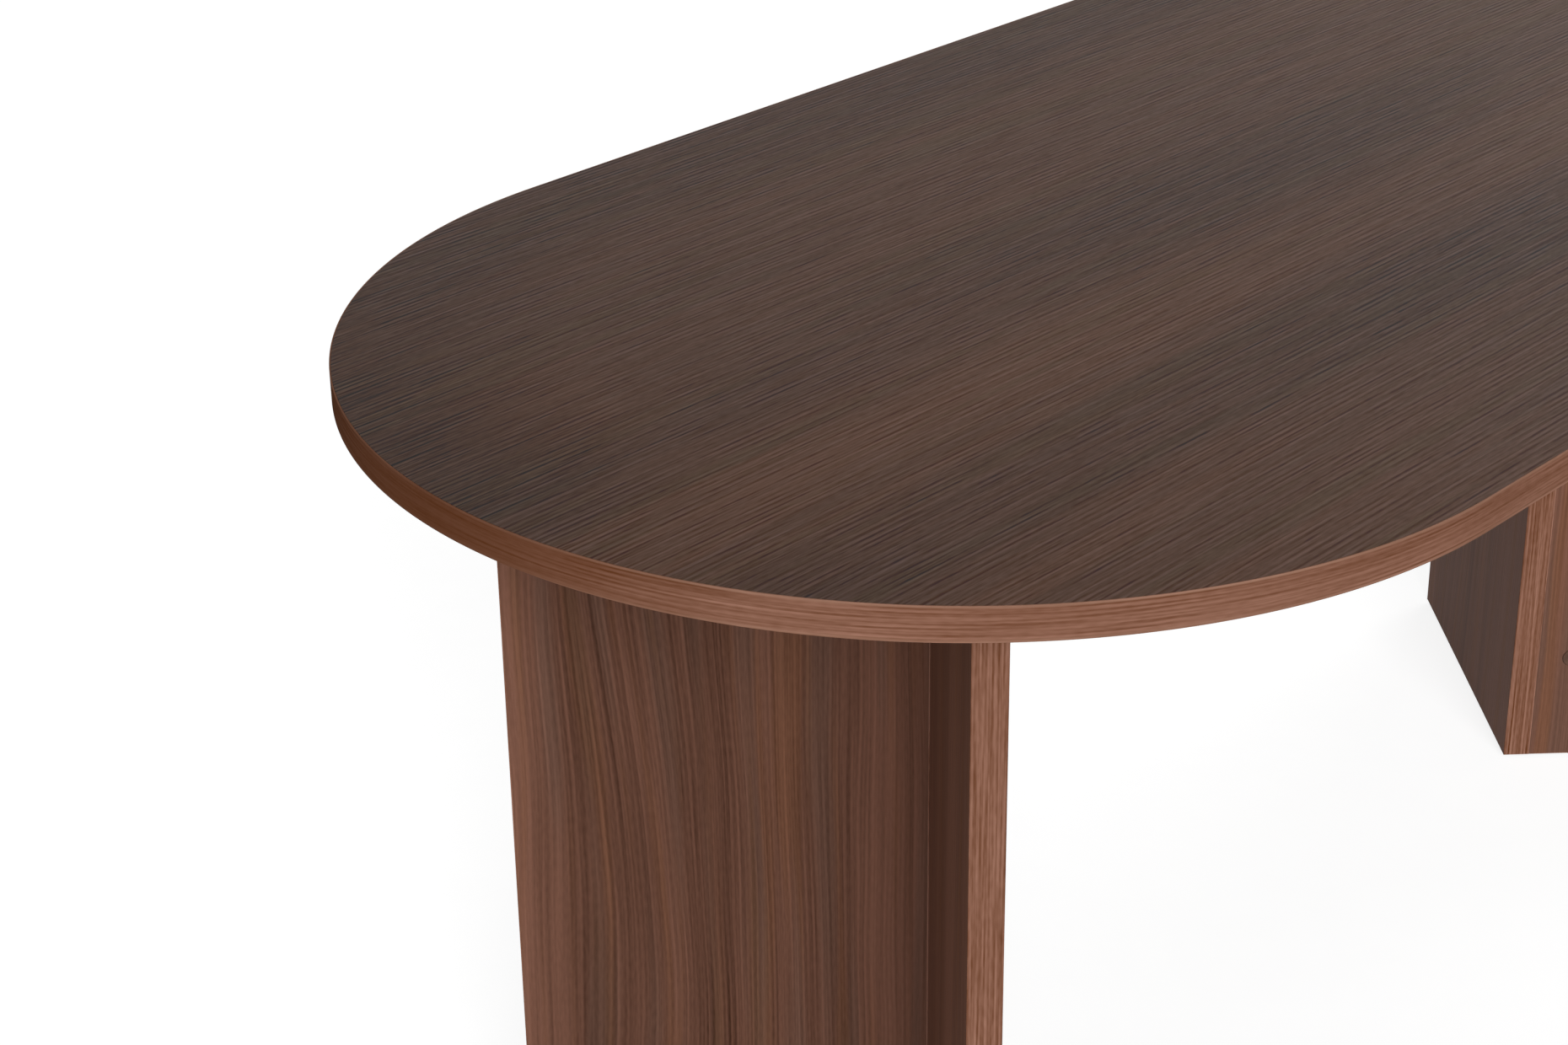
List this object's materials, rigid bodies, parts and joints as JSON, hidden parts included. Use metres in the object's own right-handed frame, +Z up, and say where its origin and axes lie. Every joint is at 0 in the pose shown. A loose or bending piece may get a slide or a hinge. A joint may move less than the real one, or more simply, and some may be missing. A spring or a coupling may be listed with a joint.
{
  "type": "oval dining table",
  "caption": "Racetrack-oval dining table: wood-grain laminated top with a banded rim on V-shaped panel legs that open towards the ends.",
  "frame": {"origin": "on the floor under the middle of the top", "axes": "+X along the table's length and the grain of the top, +Y across it, +Z up"},
  "size_m": [1.7996, 0.9, 0.75],
  "materials": {
    "top_laminate": "satin",
    "panel_laminate": "satin",
    "edge_banding": "satin",
    "beech": "matte",
    "bright_steel": "satin",
    "zinc_steel": "satin",
    "zinc_alloy": "matte",
    "insert_brass": "satin",
    "cap_plastic": "matte",
    "glide_plastic": "matte"
  },
  "bodies": {
    "root": {"top_board": "top_laminate", "top_edge_band": "edge_banding", "left_through_panel": "panel_laminate", "left_butted_panel": "panel_laminate", "left_through_panel_end_band": "edge_banding", "left_through_panel_corner_band": "edge_banding", "left_through_panel_foot_band": "edge_banding", "left_butted_panel_end_band": "edge_banding", "left_butted_panel_joint_band": "edge_banding", "left_butted_panel_foot_band": "edge_banding", "left_corner_dowels": "beech", "left_top_dowels": "beech", "left_cam_bolts": "bright_steel", "left_cam_locks": "zinc_alloy", "left_cam_caps": "cap_plastic", "left_bracket_screws": "bright_steel", "left_top_bolts": "bright_steel", "left_insert_nuts": "insert_brass", "left_through_panel_bracket_1": "zinc_steel", "left_through_panel_bracket_2": "zinc_steel", "left_butted_panel_bracket_1": "zinc_steel", "left_butted_panel_bracket_2": "zinc_steel", "left_through_panel_glide_1": "glide_plastic", "left_through_panel_glide_2": "glide_plastic", "left_butted_panel_glide_1": "glide_plastic", "left_butted_panel_glide_2": "glide_plastic", "left_glide_nails": "bright_steel", "right_through_panel": "panel_laminate", "right_butted_panel": "panel_laminate", "right_through_panel_end_band": "edge_banding", "right_through_panel_corner_band": "edge_banding", "right_through_panel_foot_band": "edge_banding", "right_butted_panel_end_band": "edge_banding", "right_butted_panel_joint_band": "edge_banding", "right_butted_panel_foot_band": "edge_banding", "right_corner_dowels": "beech", "right_top_dowels": "beech", "right_cam_bolts": "bright_steel", "right_cam_locks": "zinc_alloy", "right_cam_caps": "cap_plastic", "right_bracket_screws": "bright_steel", "right_top_bolts": "bright_steel", "right_insert_nuts": "insert_brass", "right_through_panel_bracket_1": "zinc_steel", "right_through_panel_bracket_2": "zinc_steel", "right_butted_panel_bracket_1": "zinc_steel", "right_butted_panel_bracket_2": "zinc_steel", "right_through_panel_glide_1": "glide_plastic", "right_through_panel_glide_2": "glide_plastic", "right_butted_panel_glide_1": "glide_plastic", "right_butted_panel_glide_2": "glide_plastic", "right_glide_nails": "bright_steel"}
  },
  "joints": []
}
